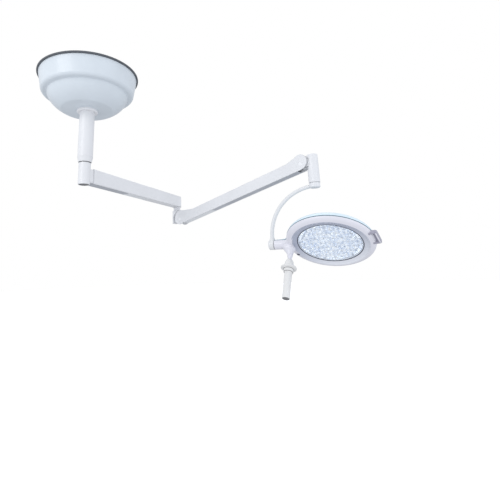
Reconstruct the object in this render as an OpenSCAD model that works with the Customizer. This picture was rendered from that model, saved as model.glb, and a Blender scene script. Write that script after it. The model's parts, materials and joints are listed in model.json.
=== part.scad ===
// Ceiling-mounted surgical light: canopy and down tube, extension arm, spring arm, yoke and LED lamp head.
// Millimetres. The origin is the centre of the ceiling plate's top face, +Z up, and +X runs along
// the extension arm. The arm headings are angles about +Z.

/* [Ceiling mount] */
// Radius of the canopy's edge seal
canopy_r = 205; // [195:1:215]
// Height of the canopy below the ceiling
canopy_h = 150; // [140:1:160]
// Outer radius of the down tube
tube_r = 30; // [30:1:32]
// Distance from the ceiling to the bottom of the down tube's lip
tube_drop = 372; // [360:1:380]
// Radius of the ceiling bolt circle
bolt_circle_r = 125; // [120:1:130]
// Radius of a ceiling bolt hole
bolt_hole_r = 6.5; // [5:0.5:7]

/* [Extension arm] */
// Distance between the two vertical swivel axes
arm_len = 740; // [600:10:900]
// Height of the arm profile
arm_h = 60; // [56:1:64]
// Width of the arm profile
arm_w = 50; // [48:1:54]
// Height of the arm's centre line
arm_z = -426; // [-430:1:-424]

/* [Spring arm] */
// Heading of the spring arm
spring_heading = -109.7; // [-150:0.1:150]
// Angle of the spring arm above the horizontal
spring_rise = 11; // [-45:1:35]
// Distance between the spring arm's two pivots
spring_len = 780; // [700:10:900]
// Height of the spring arm casing
casing_h = 50; // [48:1:52]
// Width of the spring arm casing
casing_w = 44; // [43:1:46]

/* [Yoke and lamp head] */
// Heading of the yoke
yoke_heading = 86.1; // [-180:0.1:180]
// Radius of the bow's bend
bow_r = 195; // [190:1:205]
// Outer radius of the bow tube
bow_tube_r = 8; // [7:0.5:9]
// Angle of the lamp head about the tilt axis
head_tilt = 32; // [-100:1:100]
// Radius of the lamp head at its seam
head_r = 165; // [160:1:170]
// Pitch of the lenses
lens_pitch = 33; // [32:0.5:33.5]
// Length of the sterile grip
grip_len = 96; // [80:1:110]

/* [Hidden] */
$fn = 96;
fit_gap = 0.05; // radial running clearance of a shaft in its bush
wall = 3;

// Vertical stations of the ceiling mount and the extension arm
lip_h = 20;
lip_r = 26;
hub_r = 23.5;
hub_top = -tube_drop - 2;
hub_bottom = arm_z - arm_h / 2 - 7;
spindle_r = 18;
bush_r = 21;
housing_top = -268;
arm_bottom = arm_z - arm_h / 2;
arm_top = arm_z + arm_h / 2;
arm_seam_x = 437;
cable_cover_end = 265;

// Second swivel and the rear pivot, in the spring arm's heading frame
rear_offset = 50;
rear_z = -531;
swivel_r = 15;
neck_r = 19;
knuckle_r = 25;
knuckle_top = rear_z + 52;
knuckle_bottom = rear_z - 18;
rear_bulb_r = 40;
rear_bulb_up = 12;
rear_seam_r = 53.5;
pin_r = 6;
rod_offset = 14;
rod_r = 3.5;
tongue_w = 26;
slot_w = 10;

// Front pivot and the yoke's vertical axis
front_offset = 45;
front_bulb_r = 32.5;
front_bulb_up = 9;
front_seam_r = 43;
front_r = 22.5;
front_x = rear_offset + spring_len * cos(spring_rise);
front_z = rear_z + spring_len * sin(spring_rise);
yoke_x = front_x + front_offset;
knuckle_drop = front_z - 86; // underside of the front knuckle
bow_z = front_z - 98; // centre line of the bow tube where it leaves the hub
tilt_z = front_z - 326; // height of the tilt axis
yoke_spindle_r = 10;
tilt_r = 21;
tilt_inner = 221.5; // inner face of the tilt knuckle, from the lamp head's centre
tilt_outer = 241;
head_reach = 230; // from the bow's lower axis to the lamp head's centre
tilt_shaft_r = 10;

// Lamp head
bezel_r = 145;
bezel_z = -16;
window_r = 121;
glass_z = -13.5;
handle_x = 152;
spigot_r = 7; // stud of the handle's holder in the neck casting
rail_in = 170;
rail_out = 180;
rail_w = 70;
rail_centre = 171.5;
button_angle = -22;
button_r = 147; // from the lamp head's centre
button_size = 6;

// ---------- shared shapes ----------

// Ring or disc between two heights
module ring(r_out, r_in, z_low, z_high) {
    translate([0, 0, z_low])
    difference() {
        cylinder(r = r_out, h = z_high - z_low);
        if (r_in > 0)
            translate([0, 0, -1]) cylinder(r = r_in, h = z_high - z_low + 2);
    }
}

// Rod along local X between two stations
module rod_x(r, x0, x1) {
    translate([x0, 0, 0]) rotate([0, 90, 0]) cylinder(r = r, h = x1 - x0);
}

// Pin along local Y, centred
module pin_y(r, length) {
    rotate([90, 0, 0]) translate([0, 0, -length / 2]) cylinder(r = r, h = length);
}

// Rectangle with round corners, made of true arcs
module round_rect(w, h, r) {
    square([w - 2 * r, h], center = true);
    square([w, h - 2 * r], center = true);
    for (sx = [-1, 1], sy = [-1, 1])
        translate([sx * (w / 2 - r), sy * (h / 2 - r)]) circle(r = r, $fn = 48);
}

// Solid bar of that section along local X
module bar_x(w, h, r, x0, x1) {
    translate([x0, 0, 0])
    rotate([90, 0, 90])
    linear_extrude(height = x1 - x0) round_rect(w, h, r);
}

// Retaining ring with its open gap
module circlip(r_out, r_in, z_low, z_high) {
    difference() {
        ring(r_out, r_in, z_low, z_high);
        translate([0, -2, z_low - 1]) cube([r_out + 1, 4, z_high - z_low + 2]);
    }
}

// Point on a quadratic curve, and the points along it
function bezier2(a, b, c, t) = (1 - t) * (1 - t) * a + 2 * t * (1 - t) * b + t * t * c;
function curve2(a, b, c, n) = [for (i = [0:n]) bezier2(a, b, c, i / n)];
function arc(cx, cy, r, a0, a1, n) =
    [for (i = [0:n]) [cx + r * cos(a0 + (a1 - a0) * i / n), cy + r * sin(a0 + (a1 - a0) * i / n)]];

// ---------- frames ----------

module spring_heading_frame() {
    translate([arm_len, 0, 0]) rotate([0, 0, spring_heading]) children();
}

// Origin at the rear pivot, +X along the spring arm
module casing_frame() {
    spring_heading_frame()
    translate([rear_offset, 0, rear_z]) rotate([0, -spring_rise, 0]) children();
}

// Origin on the yoke's swivel axis at ceiling height, +X towards the bow
module yoke_frame() {
    spring_heading_frame()
    translate([yoke_x, 0, 0]) rotate([0, 0, yoke_heading - spring_heading]) children();
}

// Origin at the lamp head's centre on its seam plane, +X towards the neck, +Z away from the beam
module head_frame() {
    yoke_frame()
    translate([bow_r, 0, tilt_z]) rotate([head_tilt, 0, 0]) translate([-head_reach, 0, 0]) children();
}

// ---------- ceiling mount ----------

plate_t = 12;
stud_circle_r = 65;
stud_r = 6;
flange_low = -82;
flange_high = -70;

module ceiling_plate() {
    color("silver")
    difference() {
        ring(150, 25, -plate_t, 0);
        for (a = [0:60:300])
            rotate([0, 0, a]) translate([bolt_circle_r, 0, -plate_t - 1])
            cylinder(r = bolt_hole_r, h = plate_t + 2);
    }
}

module levelling_studs() {
    color("gainsboro")
    for (a = [45:90:315])
        rotate([0, 0, a]) translate([stud_circle_r, 0, 0]) ring(stud_r, 0, -100, -plate_t);
}

module levelling_nuts() {
    nut_h = 10;
    color("gainsboro")
    for (a = [45:90:315], z = [flange_low - nut_h, flange_high])
        rotate([0, 0, a]) translate([stud_circle_r, 0, z])
        difference() {
            cylinder(r = 11, h = nut_h, $fn = 6);
            translate([0, 0, -1]) cylinder(r = stud_r, h = nut_h + 2);
        }
}

module tube_flange() {
    color("silver")
    difference() {
        ring(85, tube_r, flange_low, flange_high);
        for (a = [45:90:315])
            rotate([0, 0, a]) translate([stud_circle_r, 0, flange_low - 1])
            cylinder(r = 6.5, h = flange_high - flange_low + 2);
    }
}

brake_z = -300;
brake_angles = [10, 80];

// Radial holes and screws that act on the arm's spindle
module brake_axes(r, x0, x1) {
    for (a = brake_angles)
        rotate([0, 0, a]) translate([0, 0, brake_z]) rod_x(r, x0, x1);
}

module down_tube() {
    color("ghostwhite")
    difference() {
        ring(tube_r, lip_r, -tube_drop + lip_h, flange_high);
        brake_axes(4.1, tube_r - 8, tube_r + 2);
    }
}

module spindle_housing() {
    color("ghostwhite")
    difference() {
        rotate_extrude()
            polygon([[bush_r, -tube_drop], [lip_r, -tube_drop], [tube_r, -tube_drop + lip_h],
                [lip_r, -tube_drop + lip_h], [lip_r, housing_top], [bush_r, housing_top]]);
        brake_axes(4.1, bush_r - 2, tube_r);
    }
}

module tube_bushes() {
    color("peru") {
        ring(bush_r, spindle_r + fit_gap, -tube_drop, -tube_drop + 40);
        ring(bush_r, spindle_r + fit_gap, housing_top - 24, housing_top);
    }
}

module tube_brake_screws() {
    color("dimgray")
    difference() {
        brake_axes(4, spindle_r + 0.3, tube_r + 0.8);
        for (a = brake_angles)
            rotate([0, 0, a]) translate([tube_r - 3, 0, brake_z])
            rotate([0, 90, 0]) cylinder(r = 2.3, h = 6, $fn = 6);
    }
}

module thrust_washer() {
    color("dimgray") ring(lip_r - 2.4, spindle_r + 0.3, hub_top + 0.4, -tube_drop);
}

canopy_wall = 2.5;
band_top_r = canopy_r - 7;
band_low_r = canopy_r - 18;
band_z = -85;
fillet = 15;
bowl_top_r = canopy_r - 42;
bowl_low_r = canopy_r - 101;

// Outline of the canopy, moved inwards and upwards by t
function canopy_line(t) = concat(
    [[band_top_r - t, -7]],
    arc(band_low_r - fillet, band_z + fillet, fillet - t, 0, -90, 8),
    curve2([bowl_top_r - t, band_z + t], [bowl_top_r - 12 - t, -125 + t], [bowl_low_r, t - canopy_h], 14),
    [[tube_r + 2, t - canopy_h]]);

function reversed(list) = [for (i = [len(list) - 1:-1:0]) list[i]];

module canopy() {
    color("lightsteelblue")
    rotate_extrude($fn = 144)
        polygon(concat(canopy_line(0), reversed(canopy_line(canopy_wall))));
}

module canopy_rim() {
    color("dimgray")
    rotate_extrude($fn = 144)
        polygon(concat([[canopy_r - 18, 0], [canopy_r - 18, -7], [canopy_r - 4, -7]],
            arc(canopy_r - 3.5, -3.5, 3.5, -90, 90, 8)));
}

collar_h = 9;
collar_screw_angle = -160;

module canopy_collar() {
    color("ghostwhite")
    difference() {
        rotate_extrude()
            polygon([[tube_r + 0.1, -canopy_h], [tube_r + 0.1, -canopy_h - collar_h],
                [tube_r + 10, -canopy_h - collar_h], [tube_r + 12, -canopy_h - collar_h + 2],
                [tube_r + 12, -canopy_h]]);
        rotate([0, 0, collar_screw_angle]) translate([0, 0, -canopy_h - collar_h / 2])
            rod_x(2.5, tube_r - 1, tube_r + 14);
    }
}

module collar_screw() {
    color("dimgray")
    rotate([0, 0, collar_screw_angle]) translate([0, 0, -canopy_h - collar_h / 2])
    difference() {
        rod_x(2.5, tube_r, tube_r + 10.5);
        translate([tube_r + 8, 0, 0]) rotate([0, 90, 0]) cylinder(r = 1.4, h = 5, $fn = 6);
    }
}

module power_supply() {
    color("darkslategray")
    translate([-42, 72, -50]) {
        cube([84, 48, 38]);
        translate([-12, 8, 36]) cube([12, 32, 2]);
        translate([84, 8, 36]) cube([12, 32, 2]);
    }
}

module terminal_block() {
    color("ivory")
    difference() {
        translate([-32, -112, -34]) cube([64, 26, 22]);
        for (x = [-24:12:24])
            translate([x, -99, -35]) cylinder(r = 3, h = 8);
    }
}

// ---------- extension arm ----------

module arm_spindle() {
    color("silver")
    difference() {
        union() {
            ring(spindle_r, 9, hub_bottom + 10, housing_top + 8);
            ring(hub_r - 1, spindle_r - 1, hub_top - 3, hub_top);
        }
        ring(spindle_r + 2, spindle_r - 1.5, housing_top + 2, housing_top + 4.2);
    }
}

module spindle_ring() {
    color("dimgray") circlip(spindle_r + 4.5, spindle_r - 1.4, housing_top + 2.1, housing_top + 4.1);
}

module arm_hub() {
    color("ghostwhite")
    difference() {
        union() {
            rotate_extrude()
                polygon(concat([[0, hub_bottom], [hub_r - 1.5, hub_bottom], [hub_r, hub_bottom + 1.5],
                    [hub_r, hub_top - 2], [hub_r - 2, hub_top], [0, hub_top]]));
            translate([0, 0, arm_z]) bar_x(arm_w - 8, arm_h - 4, 5, 0, 30);
            translate([0, 0, arm_z]) bar_x(arm_w - 2 * wall - 0.4, arm_h - 2 * wall - 0.4, 3, 29, 70);
        }
        ring(spindle_r, 0, hub_bottom + 10, hub_top + 5);
        ring(hub_r - 0.99, 0, hub_top - 3, hub_top + 5);
        ring(hub_r - 3.4, 0, hub_bottom - 1, hub_bottom + 7);
    }
}

module hub_cap() {
    color("dimgray")
    difference() {
        ring(hub_r - 3.5, 0, hub_bottom + 1, hub_bottom + 6);
        ring(hub_r - 7, 0, hub_bottom - 1, hub_bottom + 2);
    }
}

strip_w = 36;
strip_t = 3.5;

module arm_profile() {
    color("ghostwhite")
    difference() {
        translate([0, 0, arm_z]) bar_x(arm_w, arm_h, 4, 30, arm_seam_x);
        translate([0, 0, arm_z]) bar_x(arm_w - 2 * wall, arm_h - 2 * wall, 3, 29, arm_seam_x + 1);
        translate([29, -strip_w / 2, arm_bottom - 1]) cube([arm_seam_x, strip_w, wall + 2]);
    }
}

module cable_cover() {
    color("dimgray")
    translate([30, 0, 0]) {
        translate([0, 0.15 - strip_w / 2, arm_bottom - 0.8]) cube([cable_cover_end - 30, strip_w - 0.3, 2.8]);
    }
}

module cover_strip() {
    color("whitesmoke")
    translate([cable_cover_end + 0.5, 0.15 - strip_w / 2, arm_bottom - 1.5])
        cube([arm_seam_x - cable_cover_end - 0.5, strip_w - 0.3, strip_t]);
}

// Outline of the arm seen from above, from a station to its round end
module arm_plan(x0, inset) {
    translate([x0, inset - arm_w / 2]) square([arm_len - x0, arm_w - 2 * inset]);
    translate([arm_len, 0]) circle(r = arm_w / 2 - inset);
}

module arm_end_housing() {
    color("ghostwhite")
    difference() {
        union() {
            translate([0, 0, arm_bottom]) linear_extrude(height = arm_h - 2.5) arm_plan(arm_seam_x, 0);
            translate([0, 0, arm_top - 2.5]) linear_extrude(height = 2) arm_plan(arm_seam_x + 4, 1.5);
            translate([0, 0, arm_z])
                bar_x(arm_w - 2 * wall - 0.4, arm_h - 2 * wall - 0.4, 3, arm_seam_x - 40, arm_seam_x + 1);
        }
        translate([arm_seam_x - 41, -arm_w / 2 + 8, arm_z - 19]) cube([260, arm_w - 16, 38]);
        translate([arm_len, 0, 0]) {
            ring(swivel_r + 3, 0, arm_bottom - 1, arm_top - 14);
            ring(arm_w / 2 - 4, 0, arm_top - 14.01, arm_top + 1);
        }
    }
}

module arm_end_cap() {
    color("white")
    translate([arm_len, 0, 0])
    rotate_extrude()
        polygon([[0, arm_top - 5], [arm_w / 2 - 4.1, arm_top - 5], [arm_w / 2 - 4.1, arm_top],
            [arm_w / 2 - 6, arm_top + 1.5], [0, arm_top + 2.5]]);
}

module swivel_bushes() {
    color("peru")
    translate([arm_len, 0, 0]) {
        ring(swivel_r + 3, swivel_r + fit_gap, arm_bottom, arm_bottom + 16);
        ring(swivel_r + 3, swivel_r + fit_gap, arm_top - 30, arm_top - 14);
    }
}

// ---------- spring arm knuckle ----------

module swivel_spindle() {
    color("ghostwhite")
    spring_heading_frame()
    difference() {
        union() {
            ring(neck_r, 0, knuckle_top, arm_bottom - 1);
            ring(swivel_r, 0, arm_bottom - 1.5, arm_top - 9.5);
            ring(swivel_r, 0, knuckle_top - 20, knuckle_top + 1);
        }
        ring(swivel_r + 2, swivel_r - 1.5, arm_top - 13, arm_top - 11);
        ring(6, 0, knuckle_top - 21, arm_top);
        translate([rear_offset, 0, rear_z]) pin_y(rear_seam_r, 80);
    }
}

module swivel_ring() {
    color("dimgray")
    spring_heading_frame() circlip(swivel_r + 4, swivel_r - 1.4, arm_top - 12.9, arm_top - 11.1);
}

// Knuckle body from the swivel towards a pivot: plan outline of a round back and flat sides
module knuckle_plan(r, w, reach) {
    circle(r = r);
    translate([0, -w / 2]) square([reach, w]);
}

module rear_knuckle() {
    color("ghostwhite")
    spring_heading_frame()
    difference() {
        union() {
            difference() {
                translate([0, 0, knuckle_bottom])
                    linear_extrude(height = knuckle_top - knuckle_bottom)
                    knuckle_plan(knuckle_r, casing_w, rear_offset);
                translate([rear_offset, 0, rear_z]) pin_y(rear_seam_r, 80);
            }
            translate([-12, -tongue_w / 2, rear_z - 14]) cube([rear_offset + 12, tongue_w, 28]);
            translate([rear_offset, 0, rear_z]) pin_y(19, tongue_w);
        }
        ring(swivel_r, 0, knuckle_top - 20, knuckle_top + 1);
        translate([rear_offset - 24, -slot_w / 2, rear_z - 40]) cube([60, slot_w, 80]);
        translate([rear_offset, 0, rear_z]) pin_y(pin_r, 60);
        translate([rear_offset, 0, rear_z - rod_offset]) pin_y(2.5, 60);
    }
}

module rear_pivot_pin() {
    color("silver")
    spring_heading_frame()
    translate([rear_offset, 0, rear_z]) {
        pin_y(pin_r, casing_w - 5);
        translate([0, 0, -rod_offset]) pin_y(2.5, tongue_w - 0.6);
    }
}

// ---------- spring arm ----------

// Side outline of the casing in its own frame, without the fairings
module casing_side(inset) {
    translate([0, inset - casing_h / 2]) square([spring_len, casing_h - 2 * inset]);
    translate([0, rear_bulb_up]) circle(r = rear_bulb_r - inset);
    translate([spring_len, front_bulb_up]) circle(r = front_bulb_r - inset);
}

// Straight shoulders from each bulb down to the top of the arm
module rear_fairing(inset) {
    polygon([[4, 0], [4, rear_bulb_up + rear_bulb_r - 0.6 - inset],
        [28, rear_bulb_up + rear_bulb_r - 10 - inset], [114, casing_h / 2 - 1 - inset], [114, 0]]);
}

module front_fairing(inset) {
    x = spring_len;
    polygon([[x - 2, 0], [x - 2, front_bulb_up + front_bulb_r - 0.5 - inset],
        [x - 18, front_bulb_up + front_bulb_r - 5.5 - inset], [x - 66, casing_h / 2 - 1 - inset], [x - 66, 0]]);
}

module casing_solid(w, inset) {
    rotate([90, 0, 0]) translate([0, 0, -w / 2]) {
        linear_extrude(height = w) casing_side(inset);
        linear_extrude(height = w) rear_fairing(inset);
        linear_extrude(height = w) front_fairing(inset);
    }
}

rear_open = 24.5; // the underside is open to here for the rear tongue
front_open = spring_len - 24.5; // and from here for the front tongue
cover_w = 34;
cover_seam = 240;
mouth_w = casing_w - 7.6;
boss_t = (mouth_w - tongue_w) / 2; // bearing boss between a side wall and the tongue

module spring_arm_casing() {
    color("ghostwhite")
    casing_frame()
    difference() {
        casing_solid(casing_w, 0);
        // inner space between the side walls, and the mouths in which the two tongues swing
        difference() {
            union() {
                casing_solid(mouth_w, wall);
                translate([-60, -mouth_w / 2, -60]) cube([84, mouth_w, 97]);
                translate([-60, -mouth_w / 2, -60]) cube([45, mouth_w, 130]);
                translate([spring_len - 20, -mouth_w / 2, -60]) cube([80, mouth_w, 92]);
                translate([spring_len + 4, -mouth_w / 2, -60]) cube([60, mouth_w, 120]);
            }
            for (x = [0, spring_len], s = [-1, 1])
                translate([x, s * (tongue_w / 2 + 0.6 + boss_t / 2), 0]) pin_y(12, boss_t);
            translate([spring_len / 2 - 36, -30, 4]) cube([6, 60, 40]);
        }
        // slot for the bottom covers
        translate([-10, -cover_w / 2, -60]) cube([spring_len + 20, cover_w, 60 - casing_h / 2 + wall + 0.1]);
        for (x = [0, spring_len]) {
            translate([x, 0, 0]) pin_y(pin_r + fit_gap, casing_w - 3);
            for (s = [-1, 1])
                translate([x, s * (casing_w / 2 - 0.9), 0]) pin_y(9, 2.2);
        }
        // the spring rod passes the inner bulkhead
        translate([0, 0, 8]) rod_x(5.3, spring_len / 2 - 60, spring_len / 2);
    }
}

module rear_bottom_cover() {
    color("whitesmoke")
    casing_frame()
    translate([rear_open, 0.15 - cover_w / 2, -casing_h / 2 - 1.2])
        cube([cover_seam - rear_open, cover_w - 0.3, wall + 1]);
}

module front_bottom_cover() {
    color("dimgray")
    casing_frame()
    translate([cover_seam + 0.5, 0.15 - cover_w / 2, -casing_h / 2 + 0.6])
        cube([front_open - cover_seam - 0.5, cover_w - 0.3, wall - 1]);
}

spring_z = 8;
spring_mean_r = 9.5;
spring_wire_r = 2.2;
spring_x0 = 372;
spring_x1 = 640;
coils = 22;
ring_points = 8;
coil_steps = 14;

// Points of a helical wire about local X, as rings of ring_points
function coil_centre(i) = let (a = 360 * i / coil_steps)
    [spring_x0 + (spring_x1 - spring_x0) * i / (coils * coil_steps),
        spring_mean_r * cos(a), spring_z + spring_mean_r * sin(a)];
function coil_point(i, k) = let (a = 360 * i / coil_steps, b = 360 * k / ring_points)
    coil_centre(i) + spring_wire_r * [sin(b), cos(b) * cos(a), cos(b) * sin(a)];

module compression_spring() {
    last = coils * coil_steps;
    points = [for (i = [0:last], k = [0:ring_points - 1]) coil_point(i, k)];
    sides = [for (i = [0:last - 1], k = [0:ring_points - 1])
        let (n = (k + 1) % ring_points)
        [i * ring_points + k, i * ring_points + n, (i + 1) * ring_points + n, (i + 1) * ring_points + k]];
    start = [for (k = [ring_points - 1:-1:0]) k];
    end = [for (k = [0:ring_points - 1]) last * ring_points + k];
    color("gray")
    casing_frame() polyhedron(points, concat(sides, [start, end]));
}

module spring_rod() {
    color("silver")
    casing_frame()
    translate([0, 0, spring_z]) {
        rod_x(4.8, 90, 668);
        difference() {
            rod_x(12, spring_x0 - 9, spring_x0 - 2.5);
            rod_x(4.8, spring_x0 - 12, spring_x0);
        }
        difference() {
            rod_x(12, spring_x1 + 2.5, spring_x1 + 8);
            rod_x(4.8, spring_x1, spring_x1 + 12);
        }
    }
}

module adjusting_nut() {
    color("dimgray")
    casing_frame()
    translate([spring_x1 + 8, 0, spring_z])
    rotate([0, 90, 0])
    difference() {
        cylinder(r = 10, h = 12, $fn = 6);
        translate([0, 0, -1]) cylinder(r = 4.8, h = 14);
    }
}

module pivot_plugs() {
    color("ghostwhite")
    casing_frame()
    for (x = [0, spring_len], s = [-1, 1])
        translate([x, s * (casing_w / 2 - 1), 0]) pin_y(8.9, 2);
}

module levelling_rod() {
    color("silver")
    casing_frame()
    rotate([0, spring_rise, 0]) translate([0, 0, -rod_offset]) rotate([0, -spring_rise, 0])
    difference() {
        union() {
            rod_x(rod_r, 4, spring_len - 4);
            for (x = [0, spring_len])
                translate([x, 0, 0]) pin_y(7, 8);
        }
        for (x = [0, spring_len])
            translate([x, 0, 0]) pin_y(2.5 + fit_gap, 10);
    }
}

// ---------- front knuckle ----------

module front_knuckle() {
    color("ghostwhite")
    spring_heading_frame()
    difference() {
        union() {
            difference() {
                union() {
                    translate([yoke_x, 0, front_z - 27])
                        linear_extrude(height = 57)
                        mirror([1, 0]) knuckle_plan(front_r, casing_w, front_offset);
                    translate([yoke_x, 0, 0]) rotate_extrude()
                        polygon(concat([[0, knuckle_drop], [front_r, knuckle_drop], [front_r, front_z + 28]],
                            arc(front_r - 6, front_z + 28, 6, 0, 90, 6), [[0, front_z + 34]]));
                }
                translate([front_x, 0, front_z]) pin_y(front_seam_r, 80);
            }
            translate([front_x, -tongue_w / 2, front_z - 14]) cube([front_offset + 6, tongue_w, 28]);
            translate([front_x, 0, front_z]) pin_y(19, tongue_w);
        }
        translate([front_x - 36, -slot_w / 2, front_z - 40]) cube([60, slot_w, 80]);
        translate([front_x, 0, front_z]) pin_y(pin_r, 60);
        translate([front_x, 0, front_z - rod_offset]) pin_y(2.5, 40);
        translate([yoke_x, 0, 0]) ring(13, 0, knuckle_drop - 1, front_z - 20);
    }
}

module front_pivot_pin() {
    color("silver")
    spring_heading_frame()
    translate([front_x, 0, front_z]) {
        pin_y(pin_r, casing_w - 5);
        translate([0, 0, -rod_offset]) pin_y(2.5, tongue_w - 0.6);
    }
}

module yoke_bush() {
    color("peru")
    yoke_frame() ring(13, yoke_spindle_r + fit_gap, knuckle_drop, front_z - 38);
}

// ---------- yoke ----------

module yoke_hub() {
    color("ghostwhite")
    yoke_frame()
    difference() {
        union() {
            rotate_extrude()
                polygon([[0, bow_z - 9], [front_r - 4, bow_z - 9], [front_r - 1, bow_z - 6],
                    [front_r - 1, knuckle_drop - 2], [front_r - 2, knuckle_drop - 1], [0, knuckle_drop - 1]]);
            ring(yoke_spindle_r, 0, knuckle_drop - 2, front_z - 26);
        }
        bow_bend(bow_tube_r + 0.01);
        ring(yoke_spindle_r + 2, yoke_spindle_r - 1, front_z - 34, front_z - 32);
        ring(3.5, 0, bow_z + 4, front_z - 20);
    }
}

module yoke_ring() {
    color("dimgray")
    yoke_frame() circlip(yoke_spindle_r + 2.5, yoke_spindle_r - 0.9, front_z - 33.9, front_z - 32.1);
}

// The quarter bend lies in the plane of the swivel axis and the tilt axis
module bow_bend(r) {
    translate([0, 0, bow_z - bow_r]) rotate([90, 0, 0])
    difference() {
        rotate_extrude(angle = 90) translate([bow_r, 0]) circle(r = r, $fn = 48);
        translate([-1, 0, -20]) cube([13, 300, 40]);
    }
}

module yoke_bow() {
    color("gainsboro")
    yoke_frame()
    difference() {
        union() {
            bow_bend(bow_tube_r);
            translate([bow_r, 0, tilt_z + tilt_r - 4])
                cylinder(r = bow_tube_r, h = bow_z - bow_r - tilt_z - tilt_r + 4);
        }
        translate([bow_r, 0, tilt_z + tilt_r - 5])
            cylinder(r = bow_tube_r - 2, h = bow_z - bow_r - tilt_z - tilt_r);
    }
}

// Frame of the tilt knuckle: origin level with the lamp head's centre, +X along the tilt axis
module tilt_frame() {
    yoke_frame() translate([bow_r - head_reach, 0, tilt_z]) children();
}

module tilt_knuckle() {
    color("ghostwhite")
    tilt_frame()
    difference() {
        union() {
            rod_x(tilt_r, tilt_inner, tilt_outer);
            translate([head_reach, 0, tilt_r - 6]) cylinder(r1 = 13, r2 = bow_tube_r + 1.5, h = 12);
        }
        for (x = [tilt_inner - 20, tilt_outer])
            translate([x, -30, 0]) cube([20, 60, 60]);
        rod_x(tilt_shaft_r + 3, tilt_inner - 1, tilt_outer - 5);
        translate([head_reach, 0, tilt_r - 4]) cylinder(r = bow_tube_r, h = 20);
    }
}

module tilt_cap() {
    color("white")
    tilt_frame()
    translate([tilt_outer, 0, 0]) rotate([0, 90, 0])
    rotate_extrude()
        polygon([[0, 0], [tilt_r - 0.5, 0], [tilt_r - 0.5, 1], [tilt_r - 3, 3], [0, 4]]);
}

module tilt_bush() {
    color("peru")
    tilt_frame()
    difference() {
        rod_x(tilt_shaft_r + 3, tilt_inner, tilt_outer - 5);
        rod_x(tilt_shaft_r + fit_gap, tilt_inner - 1, tilt_outer);
    }
}

// ---------- lamp head ----------

skin = 3;

// Lower shell outline, from the seam down to the bezel, moved inwards by t
function lower_line(t) = curve2([head_r - t, 0], [head_r - t, bezel_z + 4], [bezel_r + t * 0.2, bezel_z + t], 10);
function upper_line(t) = concat(
    curve2([head_r - t, 1.5], [head_r - 0.2 - t, 19], [head_r - 20 - t, 27.5 - t], 8),
    curve2([head_r - 20 - t, 27.5 - t], [head_r - 70, 41 - t], [0, 42 - t], 10));

module disc_lower(t) {
    rotate_extrude($fn = 144) polygon(concat(lower_line(t), [[0, bezel_z + t], [0, 0]]));
}

module disc_upper(t) {
    rotate_extrude($fn = 144) polygon(concat([[0, 1.5]], upper_line(t)));
}

// Half width of the neck from inside the disc to its round collar on the tilt axis, moved inwards by t
collar_x = 196;
collar_end = 220.5;
collar_r = 20.5;
function neck_line(t) = concat(
    curve2([130, 54 - t], [176, 46 - t], [collar_x, collar_r - t], 8), [[collar_end + t / 3, collar_r - t]]);

// Neck: turned about the tilt axis, then flattened where it meets the disc
module neck_shell(t) {
    intersection() {
        rotate([0, 90, 0]) rotate_extrude()
            polygon(concat([[0, 130]], [for (p = neck_line(t)) [p[1], p[0]]], [[0, collar_end + t / 3]]));
        rotate([90, 0, 0]) translate([0, 0, -60]) linear_extrude(height = 120)
            polygon([[129, t - 15.5], [165, t - 17], [collar_x, t - collar_r],
                [collar_end + 1 + t, t - collar_r], [collar_end + 1 + t, collar_r - t],
                [collar_x, collar_r - t], [165, 21 - t], [129, 30 - t]]);
    }
}

module neck_half(t, z_low, z_high) {
    intersection() {
        neck_shell(t);
        translate([100, -60, z_low]) cube([collar_end - 98 + t, 120, z_high - z_low]);
    }
}

module head_housing() {
    color("lavender")
    head_frame()
    difference() {
        union() {
            disc_lower(0);
            neck_half(0, -60, 0);
        }
        translate([0, 0, 0.001]) disc_lower(skin);
        translate([0, 0, bezel_z - 1]) cylinder(r = bezel_r + 0.2, h = 20);
        neck_half(skin, -60, 0.01);
        translate([handle_x, 0, -40]) cylinder(r = spigot_r, h = 40);
        translate(button_place()) translate([0, 0, -10]) cylinder(r = button_size + 0.08, h = 22);
        rod_x(15, 190, 230);
    }
}

module head_cover() {
    color("aliceblue")
    head_frame()
    difference() {
        union() {
            disc_upper(0);
            neck_half(0, 1.5, 60);
        }
        translate([0, 0, -0.001]) disc_upper(skin);
        neck_half(skin, 1.4, 60);
        rod_x(15, 190, 230);
    }
}

// Outline of the seam, seen along the beam
module seam_plan(t) {
    circle(r = head_r - t, $fn = 144);
    for (side = [-1, 1])
        polygon(concat([[130, 0]], [for (p = neck_line(t)) [p[0], side * p[1]]], [[collar_end, 0]]));
}

module seam_gasket() {
    color("cadetblue")
    head_frame()
    difference() {
        linear_extrude(height = 1.5)
        difference() {
            seam_plan(0.2);
            seam_plan(2.8);
        }
        rod_x(15, 190, 230);
    }
}

// Casting that carries the head: a plate across the housing and the tilt shaft
module neck_casting() {
    color("silver")
    head_frame() {
        difference() {
            union() {
                translate([118, -16, -2]) cube([42, 32, 7]);
                rod_x(12, 158, 180);
                rod_x(15, 178, 216);
                rod_x(17.4, 215, tilt_inner - 0.6);
                rod_x(tilt_shaft_r, tilt_inner - 1, tilt_outer - 5.5);
            }
            translate([handle_x, 0, -30]) cylinder(r = spigot_r, h = 30);
            rod_x(4, 190, 260);
        }
    }
}

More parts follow.
